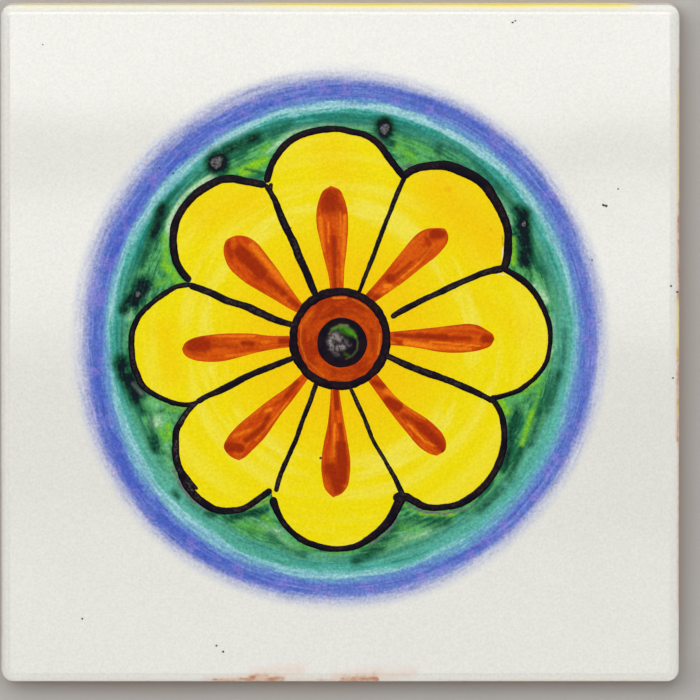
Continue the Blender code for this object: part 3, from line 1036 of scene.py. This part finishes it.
THIN_DABS = (
    (320, 218, 323, 250, 3.5, 0.8), (345, 216, 343, 256, 3, 0.8), (328.5, 222, 328.5, 242, 1, 1.0),
    (340, 212, 340, 236, 1.2, 0.9), (343, 262, 342, 280, 2.5, 0.7), (401, 278, 420, 262, 1.4, 1.0),
    (420, 262, 434, 244, 1.4, 0.9), (400, 282, 440, 254, 3, 0.5), (385, 286, 390, 286, 2.5, 1.3),
    (382, 292, 398, 286, 2.5, 0.7), (396, 258, 414, 240, 3, 0.5), (406, 343, 430, 346, 4, 1.0),
    (430, 347, 470, 349, 3, 0.8), (430, 341.5, 480, 346, 1.2, 1.0), (440, 329, 474, 327, 3, 0.5),
    (391, 342, 395, 342.5, 1.5, 0.8), (386, 391, 398, 398, 4, 0.8), (408, 424, 424, 441, 1.3, 1.1),
    (424, 441, 436, 446, 1.5, 0.9), (404, 406, 424, 419, 2.5, 0.6), (396, 410, 412, 436, 2, 0.5),
    (334.5, 424, 334, 456, 1.5, 1.1), (330, 462, 330, 480, 1.8, 0.8), (343, 404, 347, 446, 2, 0.6),
    (338, 485, 344, 486, 2.5, 0.8), (324, 450, 323, 474, 1.5, 0.4), (234, 436, 250, 430, 3, 0.7),
    (266, 411, 271, 409, 2, 1.2), (288, 402, 256, 440, 2, 0.7), (250, 416, 262, 409, 3, 0.5),
    (216, 336, 254, 336, 2, 0.8), (226, 356, 258, 353, 2.5, 0.7), (263, 342, 268, 342, 3, 0.7),
    (214, 343, 222, 343, 3, 0.4), (252, 246, 284, 282, 5, 0.8), (269, 264, 288, 288, 4, 0.6),
    (251, 256, 268, 277, 1.0, 1.2), (238, 280, 256, 289, 2, 0.4),
)
store_dabs(orange_strokes, np.concatenate(orange_loops), pool_load=POOL_DABS, thin_load=THIN_DABS)


def orange_paint():
    """Orange-red stain: streaked by the bristles, dark where it pooled and light where it was drawn thin."""
    material, tree, place = new_material("orange_paint", Specular_IOR_Level=0.04)
    brush = stored(tree, "brush", "Vector")
    bristle = cloudy(vectors("MULTIPLY", brush, (3.2, 2.0, 7.3)), 1.0, 3.0, 0.6)
    grain = cloudy(place, 1600.0, 3.0, 0.65)
    colour = blended(eased(bristle, 0.38, 0.62), seen(216, 88, 4), seen(196, 62, 0))

    def broken(name, share):
        """A load whose edge is broken up by the bristles and the grain."""
        noise = plus(times(bristle, 0.5), times(grain, 0.5))
        swing = times(minus(noise, 0.5), share)
        return plus(stored(tree, name), swing)

    colour = blended(eased(broken("thin_load", 0.5), 0.2, 1.0), colour, seen(240, 124, 12))
    colour = blended(eased(broken("pool_load", 0.7), 0.2, 0.8), colour, seen(158, 42, 0))
    colour = mottled(place, colour, 0.9)
    # The stroke's edge is a little darker, where the paint dried first
    parts = add_node(tree, "ShaderNodeSeparateXYZ", {0: brush})
    edge = eased(maths("ABSOLUTE", parts.outputs["Y"]), 0.82, 0.98, 0.0, 0.4)
    colour = blended(edge, colour, seen(176, 66, 0))
    return surfaced(material, colour, eased(grain, 0.3, 0.7, 0.2, 0.32), bristle, 0.01 * MM)


finish_piece(orange_strokes, orange_paint())

# The orange ring round the centre is a film, whose streaks run round it
RING_CENTRE = (340.0, 339.2)
RING_INNER = 17 * PIXEL
RING_OUTER = 45 * PIXEL
RING_RINGS = 18
ring_angle = np.linspace(0, 2 * np.pi, 240, endpoint=False)
ring_inner = np.full(len(ring_angle), RING_INNER)
ring_outer = np.full(len(ring_angle), RING_OUTER)
orange_ring, ring_places = make_film(
    "orange_ring", on_face(RING_CENTRE), ring_angle, ring_inner, ring_outer, RING_RINGS, ORANGE_HEIGHT
)

RING_POOL_DABS = (
    (322, 318, 336, 311, 3.5, 0.7), (336, 311, 352, 311, 3.5, 0.6), (352, 311, 366, 320, 3.5, 0.5),
    (330, 303, 334, 306, 3, 0.6), (372, 330, 373, 350, 4, 0.6), (324, 366, 344, 374, 3, 0.5),
    (344, 374, 364, 370, 3, 0.5), (310, 330, 311, 350, 4, 0.4),
)
# Where the ring's paint was drawn thin towards its outer edge, and, in the first dab at the top, a painted
# highlight
RING_THIN_AND_HIGHLIGHT_DABS = (
    (333, 298.2, 346, 297.6, 1.6, 0.75), (301, 325, 300.5, 345, 1.6, 0.6), (301, 345, 306, 360, 1.6, 0.6),
    (306, 360, 324, 376, 2, 0.5), (380, 334, 378, 354, 1.5, 0.7), (352, 299, 368, 308, 2, 0.5),
    (304, 322, 312, 312, 3, 0.5), (330, 379, 352, 380, 2, 0.4),
)
store_dabs(orange_ring, ring_places, pool_load=RING_POOL_DABS, thin_load=RING_THIN_AND_HIGHLIGHT_DABS)


def orange_ring_paint():
    """The same orange, turned on the wheel: its streaks run round, it thins towards its outer edge, and a
    painted highlight lies at its top.
    """
    material, tree, place = new_material("orange_ring_paint", Specular_IOR_Level=0.04)
    streak = streaked(place, RING_CENTRE, 1.6, 700.0)
    grain = cloudy(place, 1600.0, 3.0, 0.65)
    colour = blended(eased(streak, 0.4, 0.6), seen(196, 71, 0), seen(168, 48, 0))
    # Lighter where drawn thin, and a painted highlight at the ring's top
    colour = blended(eased(stored(tree, "thin_load"), 0.2, 1.0), colour, seen(238, 136, 24))
    colour = blended(eased(stored(tree, "pool_load"), 0.2, 0.9), colour, seen(152, 42, 0))
    colour = mottled(place, colour, 0.9)
    return surfaced(material, colour, eased(grain, 0.3, 0.7, 0.2, 0.32), streak, 0.008 * MM)


finish_piece(orange_ring, orange_ring_paint())

# Black brush lines
# The petals' outlines and the lines between them are drawn freehand with a fine liner brush in
# manganese black, thick enough to stand up from the glaze and matt where the brush ran dry.

LINE_HEIGHT = 0.075 * MM
LINE_STEP = 0.8 * PIXEL
LINE_SECTION = 14
# Each line: its points in pixels, its widths in pixels at even places along it, how dry the brush was
BLACK_LINES = {
    "top": (PETAL_OUTLINES["top"], (7, 7, 7.5, 6.5, 7, 7.5, 7), 0.15),
    "top_right": (PETAL_OUTLINES["top_right"], (8, 9, 10.5, 10.5, 9, 8.5, 8), 0.2),
    "right": (PETAL_OUTLINES["right"], (6, 7, 6, 5, 5, 5, 5), 0.1),
    "bottom_right": (PETAL_OUTLINES["bottom_right"], (6, 6.5, 7, 7.5, 8, 7, 7, 8.5), 0.2),
    "bottom": (PETAL_OUTLINES["bottom"], (10, 10, 8, 6.5, 6, 6.5, 6, 6.5, 9), 0.2),
    "bottom_left_low": (PETAL_OUTLINES["bottom_left_low"], (6, 7, 6.5, 7, 7.5, 8, 6), 0.3),
    "bottom_junction": (((393.5, 500), (400, 496.5), (408, 499.5)), (8, 10, 8), 0.2),
    "bottom_left_worn": (
        ((177.5, 464), (181.5, 474), (187, 484), (194, 494), (203, 502)), (3, 8, 10.5, 8, 3), 1.0,
    ),
    "bottom_left_high": (PETAL_OUTLINES["bottom_left_high"], (3, 6, 8, 7.5, 7, 6, 5), 0.8),
    "left": (PETAL_OUTLINES["left"], (5, 5, 7, 7, 6, 5.5, 5), 0.3),
    "top_left": (PETAL_OUTLINES["top_left"], (7, 8, 8.5, 8, 8.5, 8.5, 7), 0.25),
    "between_top_and_top_left": (
        ((316, 296), (305, 270), (290, 235), (283.5, 222), (275, 200), (270.5, 190), (271.5, 183)),
        (7, 8, 8.5, 8, 3.5), 0.5,
    ),
    "beside_top_left": (((265.5, 184.5), (270, 192), (274, 200)), (4.5, 5, 5), 0.2),
    "between_left_and_top_left": (
        ((296, 326), (279, 320.5), (260, 313), (247, 307), (226, 300), (208.5, 292), (189, 284.5)),
        (6, 8.5, 7.5, 8.5, 6.5), 0.45,
    ),
    "between_bottom_left_and_left": (
        ((297, 357), (270, 367), (248.5, 376), (225.5, 387.5), (205.5, 397.5), (196.5, 402.5)),
        (6, 6.5, 7, 7, 5.5), 0.3,
    ),
    "between_bottom_and_bottom_left": (
        ((317.5, 380), (308.5, 405.5), (300, 428.5), (291, 451.5), (281, 473), (275.5, 492)),
        (5, 5, 5, 5.5, 5), 0.4,
    ),
    "between_bottom_right_and_bottom": (
        ((350, 387), (359, 405), (371.5, 436), (387, 464), (399, 486), (404, 497)),
        (4, 4.5, 4, 4.5, 6), 0.5,
    ),
    "between_right_and_bottom_right": (
        ((383, 354), (411, 367), (434.5, 375.5), (465, 387.5), (484.5, 396), (494.5, 401.5)),
        (6, 7.5, 7, 7, 6), 0.4,
    ),
    "between_top_right_and_right": (
        ((391, 317.5), (400.5, 311.5), (415, 304), (440, 292.5), (465, 281), (487.5, 272), (503, 269)),
        (6, 6.5, 6.5, 6.5, 7), 0.4,
    ),
    "between_top_and_top_right": (
        ((359, 293), (372, 259), (385.5, 223.5), (398, 192), (404.5, 176.5)),
        (4, 5, 5, 5, 5), 0.5,
    ),
}


def wander(count, reach, random):
    """Two irregular rows of numbers about 0: random ones, averaged over a bell as wide as the reach."""
    bell = np.exp(-((np.arange(-3 * reach, 3 * reach + 1) / reach) ** 2))
    rough = random.normal(0, 1, (2, count + len(bell) - 1))
    smooth = np.stack([np.convolve(row, bell, mode="valid") for row in rough])
    return smooth / np.sqrt((bell**2).sum())


def line_loops(path, half_width, height, closed=False):
    """A raised line: at each place along a path, a flat oval loop.

    A place on the loop stands off the path by its half-width times the cosine of its turn
    on each side, and rises by the height times the root of its sine, or sinks by it.
    """
    ahead = np.gradient(path, axis=0)
    if closed:
        ahead = np.roll(path, -1, axis=0) - np.roll(path, 1, axis=0)
    ahead /= np.linalg.norm(ahead, axis=1, keepdims=True)
    side = np.stack([-ahead[:, 1], ahead[:, 0]], -1)
    turn = np.linspace(0, 2 * np.pi, LINE_SECTION, endpoint=False)
    across = np.cos(turn)
    reach = np.where(across > 0, half_width[0][:, None], half_width[1][:, None]) * across
    flat = path[:, None] + side[:, None] * reach[..., None]
    dome = np.sign(np.sin(turn)) * np.abs(np.sin(turn)) ** 0.6
    fullness = np.clip(half_width.sum(0) / (4 * PIXEL), 0.05, 1)[:, None]
    level = face_level(flat[..., 0], flat[..., 1]) + height * dome * fullness
    return np.concatenate([flat, level[..., None]], -1), across


def line_marks(path, across, dryness):
    """What the paint of a line reads: millimetres along it, its place across, and how dry it is."""
    along = distance_walked(path)[:, None] / MM + 0 * across
    return np.stack([along, across + 0 * along, np.full_like(along, dryness)], -1).reshape(-1, 3)


# The path wanders slowly; its width varies quickly along each side, and more but slowly
PATH_WANDER = 0.14 * PIXEL
QUICK_WANDER = 0.09 * PIXEL
SLOW_WANDER = 0.2 * PIXEL
random = np.random.default_rng(11)
line_pieces = []
line_notes = []
for points, widths, dryness in BLACK_LINES.values():
    path = smooth_path(on_face(points), LINE_STEP)
    count = len(path)
    path = path + PATH_WANDER * wander(count, 12, random).T
    width = np.interp(np.linspace(0, 1, count), np.linspace(0, 1, len(widths)), widths) * PIXEL
    half_width = width / 2 + QUICK_WANDER * wander(count, 2, random)
    half_width += SLOW_WANDER * wander(count, 9, random)
    from_end = np.minimum(np.arange(count), np.arange(count)[::-1]) * LINE_STEP
    round_end = np.sqrt(1 - (1 - np.clip(from_end / (width / 2), 0.03, 1)) ** 2)
    loops, across = line_loops(path, half_width * round_end, LINE_HEIGHT)
    line_pieces.append(loops)
    line_notes.append(line_marks(path, across, dryness))
black_lines = make_strokes("black_lines", line_pieces)
store(black_lines, "brush", np.concatenate(line_notes))


def black_paint():
    """Manganese black with a violet cast, and grey crystals along a line's middle where the brush was dry."""
    material, tree, place = new_material("black_paint", Specular_IOR_Level=0.04)
    parts = add_node(tree, "ShaderNodeSeparateXYZ", {0: stored(tree, "brush", "Vector")})
    middle = eased(maths("ABSOLUTE", parts.outputs["Y"]), 0.75, 0.2)
    patch = cloudy(place, 420.0, 3.0, 0.6)
    grain = cloudy(place, 3200.0, 2.0, 0.6)
    colour = blended(eased(patch, 0.4, 0.62), seen(14, 8, 22), seen(26, 10, 20))
    dry = times(times(middle, parts.outputs["Z"]), eased(patch, 0.4, 0.6))
    crystals = times(dry, eased(grain, 0.4, 0.62))
    colour = blended(times(crystals, 0.6), colour, seen(96, 98, 94))
    roughness = plus(eased(patch, 0.3, 0.7, 0.3, 0.42), times(dry, 0.3))
    return surfaced(material, colour, roughness, grain, 0.008 * MM)


BLACK_PAINT = black_paint()
finish_piece(black_lines, BLACK_PAINT)

# The black ring closes on itself, so it has no ends
BLACK_RING_CENTRE = (339.8, 338.8)
BLACK_RING_RADIUS = 46.6 * PIXEL
BLACK_RING_STEPS = 420
ring_turn = np.linspace(0, 2 * np.pi, BLACK_RING_STEPS, endpoint=False)
ring_round = np.stack([np.cos(ring_turn), 1.01 * np.sin(ring_turn)], -1)
ring_path = on_face(BLACK_RING_CENTRE) + BLACK_RING_RADIUS * ring_round
ring_swell = np.cos(3 * ring_turn + 1.0) + np.cos(5 * ring_turn + 2.2)
# The unevenness fades in and out, so that the ring's two ends meet
uneven = wander(BLACK_RING_STEPS, 3, random) * np.sin(ring_turn / 2) ** 0.2
ring_half_width = (4.6 + 0.25 * ring_swell + 0.3 * uneven) * PIXEL
loops, across = line_loops(ring_path, ring_half_width, LINE_HEIGHT, closed=True)
number = numbered(*loops.shape[:2])
black_ring = make_piece("black_ring", loops, loop_cells(np.vstack([number, number[:1]])))
store(black_ring, "brush", line_marks(ring_path, across, 0.15))
finish_piece(black_ring, BLACK_PAINT)

# The centre
# A round black spot fills the ring's middle. A drop of green fell into it in the firing, and
# where the paint is thickest it has crystallised to a rough, silvery grey.

SPOT_CENTRE = (342.0, 342.6)
SPOT_RADIUS = 25.6 * PIXEL
SPOT_HEIGHT = 0.07 * MM
SPOT_RINGS = 60
spot_angle = np.linspace(0, 2 * np.pi, 200, endpoint=False)
spot_edge = SPOT_RADIUS * (1 + 0.008 * np.cos(3 * spot_angle + 0.7) + 0.006 * np.cos(7 * spot_angle))
centre_spot, spot_places = make_film(
    "centre_spot", on_face(SPOT_CENTRE), spot_angle, 0 * spot_angle, spot_edge, SPOT_RINGS, SPOT_HEIGHT
)
SPOT_GREEN_DABS = (
    (332, 329.5, 340, 326.8, 1.6, 0.7), (340, 327.3, 347, 328, 2.0, 1.0), (346, 329.5, 352, 333, 2.6, 1.2),
    (352, 331, 355.5, 336.5, 1.6, 1.0), (341, 330, 349, 334.5, 2.0, 0.5), (345, 354, 349, 356, 1.6, 0.25),
)
# A painted highlight: a pale olive line along the spot's upper and right edge
SPOT_HIGHLIGHT_DABS = (
    (329, 334, 333, 328.4, 0.9, 0.5), (333, 328.4, 340, 325, 0.9, 0.7), (340, 325, 347.5, 325.8, 1.2, 1.0),
    (347.5, 326, 354, 333, 0.8, 0.5), (355.5, 336, 357.8, 342, 0.8, 0.4), (357.8, 342, 357, 350, 0.9, 0.45),
    (357, 350, 352, 356, 1.0, 0.35), (352, 356, 346, 359, 0.9, 0.3),
)
SPOT_GREY_DABS = (
    (336, 336, 339, 338.5, 3.6, 1.1), (333.5, 335.5, 331, 341, 3.0, 1.1), (330, 341, 332, 348, 2.6, 1.1),
    (338, 348, 343, 347, 2.6, 1.2), (345, 341, 349, 345, 2.4, 0.35), (334, 352, 338, 355, 2.2, 0.35),
)
store_dabs(
    centre_spot, spot_places, green_load=SPOT_GREEN_DABS, light_load=SPOT_HIGHLIGHT_DABS, grey_load=SPOT_GREY_DABS
)


def spot_paint():
    """Black with a green crescent melted into it, a painted highlight along its upper right edge, and clumps
    of grey crystals.
    """
    material, tree, place = new_material("spot_paint", Specular_IOR_Level=0.04)
    patch = cloudy(place, 900.0, 3.0, 0.6)
    grain = cloudy(place, 2600.0, 3.0, 0.7)
    colour = blended(eased(patch, 0.4, 0.62), seen(14, 8, 22), seen(28, 14, 24))
    powder = plus(times(cloudy(place, 2900.0, 2.0, 0.65), 0.7), times(cloudy(place, 1100.0), 0.3))
    # The powder's grain breaks up a load: it is scaled by one plus this much of the noise
    broken = plus(times(minus(powder, 0.5), 1.6), 1.0)
    green = times(stored(tree, "green_load"), broken, clamp=True)
    colour = blended(green, colour, blended(patch, seen(38, 92, 14), seen(84, 164, 24)))
    # The painted highlight along the spot's upper right edge
    light = times(stored(tree, "light_load"), broken, clamp=True)
    colour = blended(light, colour, seen(112, 118, 70))
    grey = times(stored(tree, "grey_load"), eased(grain, 0.34, 0.52))
    colour = blended(grey, colour, seen(138, 130, 126))
    relief = times(grain, stored(tree, "grey_load"))
    return surfaced(material, colour, eased(grey, 0.0, 1.0, 0.3, 0.75), relief, 0.04 * MM)


finish_piece(centre_spot, spot_paint())

# Crystal spots and specks
# Thick drops of black between the petals have crystallised as the centre has, and dust and
# iron in the kiln have left small dark specks on the white.

SPECK_HEIGHT = 0.05 * MM
BLOB_SIDES = 20
BLOB_RINGS = 6
# Each spot: its place, half its length and half its width; each speck has its turn in degrees too
CRYSTAL_SPOTS = (
    (216.8, 162.6, 6.8, 6.3), (384.5, 129, 4.6, 6.4), (523.8, 224, 2.1, 2.9), (138, 294, 3.0, 3.2),
)
DARK_SPECKS = (
    (512.5, 22.8, 1.4, 0.8, 25), (515.2, 21.2, 1.2, 0.7, 25), (603.5, 205.2, 2, 1.1, -30),
    (606.2, 206, 1.5, 1.2, 20), (618, 189, 0.9, 0.8, 0), (671, 286, 1.1, 1.0, 0), (677.3, 292, 1.2, 1.0, 0),
    (673, 378, 1, 0.8, 40), (82, 619, 1.1, 0.9, 0), (216.3, 646, 1.2, 0.9, 0), (223, 652, 1.3, 1.0, 30),
    (43, 45, 0.8, 0.7, 0), (291, 228, 0.9, 0.8, 0), (320.6, 458, 1.7, 1.4, 0), (592, 260, 0.9, 0.7, 0),
    (159.5, 168, 0.9, 0.8, 0), (173.5, 173.5, 1.0, 0.9, 0),
)


def blob_loops(x, y, half_length, half_width, turn, seed):
    """A low blob with an uneven edge: its loops shrink with a turn's cosine as they rise with its sine."""
    random = np.random.default_rng(seed)
    around = np.linspace(0, 2 * np.pi, BLOB_SIDES, endpoint=False)
    oval = 0.12 * np.cos(2 * around + random.uniform(0, 6))
    edge = 1 + oval + 0.1 * np.cos(3 * around + random.uniform(0, 6))
    rise = np.linspace(-0.3, np.pi / 2 - 0.05, BLOB_RINGS)[:, None]
    size = np.cos(rise) * edge
    along = half_length * size * np.cos(around)
    across = half_width * size * np.sin(around)
    lean = np.radians(turn)
    middle = on_face((x, y))
    flat_x = middle[0] + PIXEL * (along * np.cos(lean) - across * np.sin(lean))
    flat_y = middle[1] + PIXEL * (along * np.sin(lean) + across * np.cos(lean))
    level = face_level(flat_x, flat_y) + SPECK_HEIGHT * np.sin(rise)
    return np.stack([flat_x, flat_y, level], -1)


crystal_spots = make_strokes(
    "crystal_spots", [blob_loops(*spot, turn=0, seed=40 + n) for n, spot in enumerate(CRYSTAL_SPOTS)]
)
# How far a place is from its spot's edge: 0 there, 1 at the top
from_spot_edge = np.repeat(np.linspace(0, 1, BLOB_RINGS), BLOB_SIDES)
store(crystal_spots, "inland", np.tile(from_spot_edge, len(CRYSTAL_SPOTS)))
dark_specks = make_strokes(
    "dark_specks", [blob_loops(*speck, seed=60 + n) for n, speck in enumerate(DARK_SPECKS)]
)


def crystal_paint():
    """Silvery grey crystals with dark gaps between them, and a dark edge."""
    material, tree, place = new_material("crystal_paint", Specular_IOR_Level=0.1)
    grain = cloudy(place, 2400.0, 4.0, 0.75)
    colour = blended(eased(grain, 0.4, 0.6), seen(46, 46, 50), seen(114, 115, 113))
    from_edge = plus(stored(tree, "inland"), minus(grain, 0.5))
    colour = blended(eased(from_edge, 0.15, 0.7), seen(14, 16, 20), colour)
    return surfaced(material, colour, eased(grain, 0.3, 0.7, 0.5, 0.8), grain, 0.04 * MM)


def speck_paint():
    """Iron black, a little brown where it is thin."""
    material, _, place = new_material("speck_paint", IOR=1.5)
    grain = cloudy(place, 2600.0, 2.0, 0.6)
    colour = blended(grain, seen(38, 34, 40), seen(74, 66, 60))
    return surfaced(material, colour, eased(grain, 0.3, 0.7, 0.3, 0.5))


finish_piece(crystal_spots, crystal_paint())
finish_piece(dark_specks, speck_paint())

# The floor, the lights and the camera
# The tile lies on a plain pale sheet under soft studio light. A long lens looks almost straight
# down on it, from a little towards its top edge, so a sliver of that edge shows.

FLOOR_SIDE = 3.0
floor_mesh = bpy.data.meshes.new("floor")
floor_line = np.linspace(-FLOOR_SIDE / 2, FLOOR_SIDE / 2, 3)
floor_x, floor_y = np.meshgrid(floor_line, floor_line)
floor_places = np.stack([floor_x, floor_y, 0 * floor_x - 0.01 * MM], -1)
floor_mesh.from_pydata(floor_places.reshape(-1, 3), [], grid_cells(3, 3).tolist())
floor = bpy.data.objects.new("floor", floor_mesh)
bpy.context.scene.collection.objects.link(floor)
floor_material, _, floor_place = new_material("pale_floor")
floor_colour = blended(cloudy(floor_place, 12.0, 3.0), seen(186, 183, 178), seen(178, 177, 175))
floor_mesh.materials.append(surfaced(floor_material, floor_colour, 0.8))

world = bpy.data.worlds.new("soft_room")
world.use_nodes = True
background = world.node_tree.nodes["Background"]
background.inputs["Color"].default_value = (1.0, 1.0, 1.0, 1.0)
background.inputs["Strength"].default_value = 0.03
bpy.context.scene.world = world
bpy.context.scene.view_settings.view_transform = "Standard"


def panel(name, place, target, width, length, radiance, mirrored=True):
    """A square-cornered soft light. A lamp of so much radiance gives pi times that for each square metre.

    One that isn't mirrored lights the tile without showing in its glaze.
    """
    lamp = bpy.data.lights.new(name, "AREA")
    lamp.shape = "RECTANGLE"
    lamp.size = width
    lamp.size_y = length
    lamp.energy = radiance * np.pi * width * length
    light = bpy.data.objects.new(name, lamp)
    bpy.context.scene.collection.objects.link(light)
    light.visible_glossy = mirrored
    light.location = place
    light.rotation_euler = (Vector(target) - Vector(place)).to_track_quat("-Z", "Y").to_euler()


tile_middle = (0.0, 0.0, THICKNESS)
panel("ceiling_light", (-0.22, 0.43, 1.25), (-0.22, 0.43, 0.0), 1.1, 0.68, 5.25)
panel("left_light", (-1.0, 0.1, 0.8), tile_middle, 1.2, 0.9, 0.85)
panel("front_fill", (0.0, -1.0, 0.25), tile_middle, 1.2, 0.45, 3.7, mirrored=False)
panel("right_fill", (1.0, 0.0, 0.25), tile_middle, 1.2, 0.45, 2.6, mirrored=False)
panel("back_fill", (0.0, 1.2, 0.18), tile_middle, 2.0, 0.34, 4.6, mirrored=False)
# Two strips beside the camera and a panel behind it, which the glazed face mirrors
panel("near_strip", (0.01, -0.069, 1.25), (0.01, -0.069, 0.0), 0.3, 0.032, 2.8)
panel("far_strip", (0.01, -0.02, 1.25), (0.01, -0.02, 0.0), 0.3, 0.04, 3.8)
panel("high_panel", (0.0, -1.0, 6.0), (0.0, -1.0, 0.0), 1.5, 1.0, 1.5)

CAMERA_DISTANCE = 3.0
SENSOR = 36.0
VIEW_WIDTH = 700 * PIXEL
look_x, look_y = on_face((350, 350))
camera_data = bpy.data.cameras.new("camera")
camera_data.sensor_width = SENSOR
camera_data.lens = SENSOR * CAMERA_DISTANCE / VIEW_WIDTH
camera_data.clip_start = 0.01
camera = bpy.data.objects.new("camera", camera_data)
bpy.context.scene.collection.objects.link(camera)
camera.location = (
    look_x,
    look_y + CAMERA_DISTANCE * np.sin(CAMERA_TILT),
    FACE_LEVEL + CAMERA_DISTANCE * np.cos(CAMERA_TILT),
)
camera.rotation_euler = (-CAMERA_TILT, 0.0, 0.0)
bpy.context.scene.camera = camera
